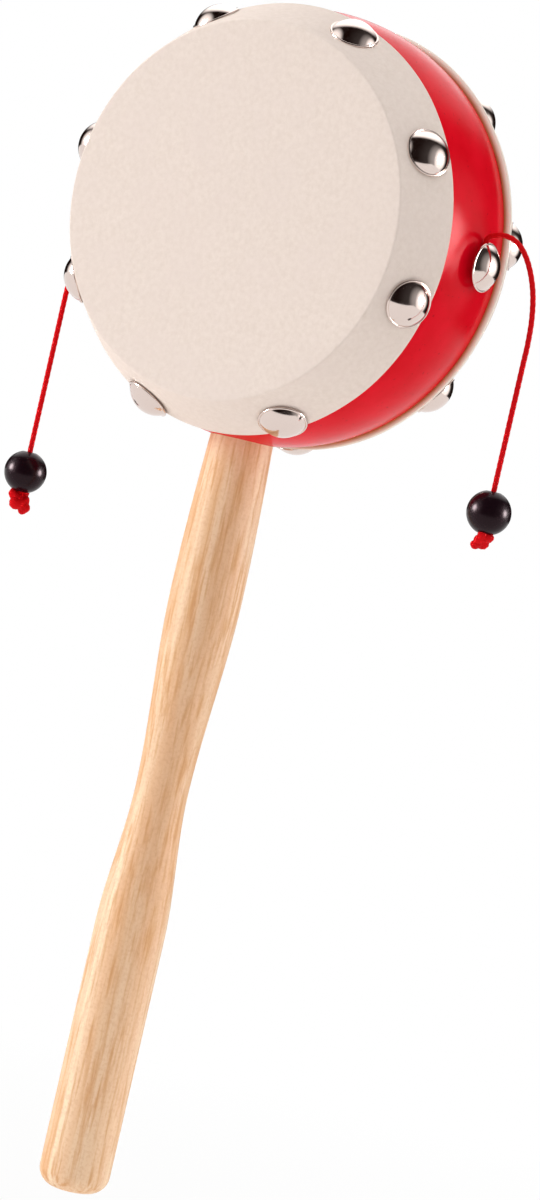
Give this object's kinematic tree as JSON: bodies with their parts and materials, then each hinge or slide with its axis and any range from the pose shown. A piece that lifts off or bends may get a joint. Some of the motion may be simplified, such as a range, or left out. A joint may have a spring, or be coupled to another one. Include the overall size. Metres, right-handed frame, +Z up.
{
  "type": "pellet drum rattle",
  "caption": "Two-headed hand rattle drum on a turned wooden handle, with a beaded cord on each side that swings round and beats the skins.",
  "frame": {"origin": "middle of the handle's grip, on its axis", "axes": "+Z up the handle to the drum, -Y out of the front skin, +X to the side of the right cord"},
  "size_m": [0.1328, 0.0524, 0.2755],
  "materials": {
    "red_paint": "gloss",
    "skin": "matt",
    "turned_wood": "satin",
    "nickel": "polished",
    "cord": "matt",
    "black_lacquer": "gloss"
  },
  "bodies": {
    "drum": {"drum_shell": "red_paint", "front_head": "skin", "rear_head": "skin", "handle": "turned_wood", "front_tack_1": "nickel", "front_tack_2": "nickel", "front_tack_3": "nickel", "front_tack_4": "nickel", "front_tack_5": "nickel", "front_tack_6": "nickel", "front_tack_7": "nickel", "front_tack_8": "nickel", "rear_tack_1": "nickel", "rear_tack_2": "nickel", "rear_tack_3": "nickel", "rear_tack_4": "nickel", "rear_tack_5": "nickel", "rear_tack_6": "nickel", "rear_tack_7": "nickel", "rear_tack_8": "nickel", "right_cord_tack": "nickel", "left_cord_tack": "nickel", "right_cord_root": "cord", "left_cord_root": "cord"},
    "right_neck": {"right_cord_neck": "cord"},
    "right_upper": {"right_cord_upper": "cord"},
    "right_lower": {"right_cord_lower": "cord", "right_knot": "cord"},
    "right_striker": {"right_bead": "black_lacquer"},
    "left_neck": {"left_cord_neck": "cord"},
    "left_upper": {"left_cord_upper": "cord"},
    "left_lower": {"left_cord_lower": "cord", "left_knot": "cord"},
    "left_striker": {"left_bead": "black_lacquer"}
  },
  "joints": [
    {"name": "right_cord_lift", "type": "hinge", "parent": "drum", "child": "right_neck", "pos_m": [0.0511, 0, 0.1996], "axis": [0, -1, 0], "range_deg": [0, 90]},
    {"name": "right_cord_swing", "type": "hinge", "parent": "right_neck", "child": "right_upper", "pos_m": [0.0511, 0, 0.1996], "axis": [1, 0, 0], "range_deg": [-93, 93]},
    {"name": "right_cord_bend", "type": "hinge", "parent": "right_upper", "child": "right_lower", "pos_m": [0.0665, 0, 0.1706], "axis": [1, 0, 0], "range_deg": [-82, 82]},
    {"name": "right_bead_slide", "type": "slide", "parent": "right_lower", "child": "right_striker", "axis": [0, 0, -1], "range_m": [-0.017, 0]},
    {"name": "left_cord_lift", "type": "hinge", "parent": "drum", "child": "left_neck", "pos_m": [-0.0511, 0, 0.1864], "axis": [0, 1, 0], "range_deg": [0, 90]},
    {"name": "left_cord_swing", "type": "hinge", "parent": "left_neck", "child": "left_upper", "pos_m": [-0.0511, 0, 0.1864], "axis": [-1, 0, 0], "range_deg": [-93, 93]},
    {"name": "left_cord_bend", "type": "hinge", "parent": "left_upper", "child": "left_lower", "pos_m": [-0.0563, 0, 0.1574], "axis": [-1, 0, 0], "range_deg": [-82, 82]},
    {"name": "left_bead_slide", "type": "slide", "parent": "left_lower", "child": "left_striker", "axis": [0, 0, -1], "range_m": [-0.017, 0]}
  ]
}
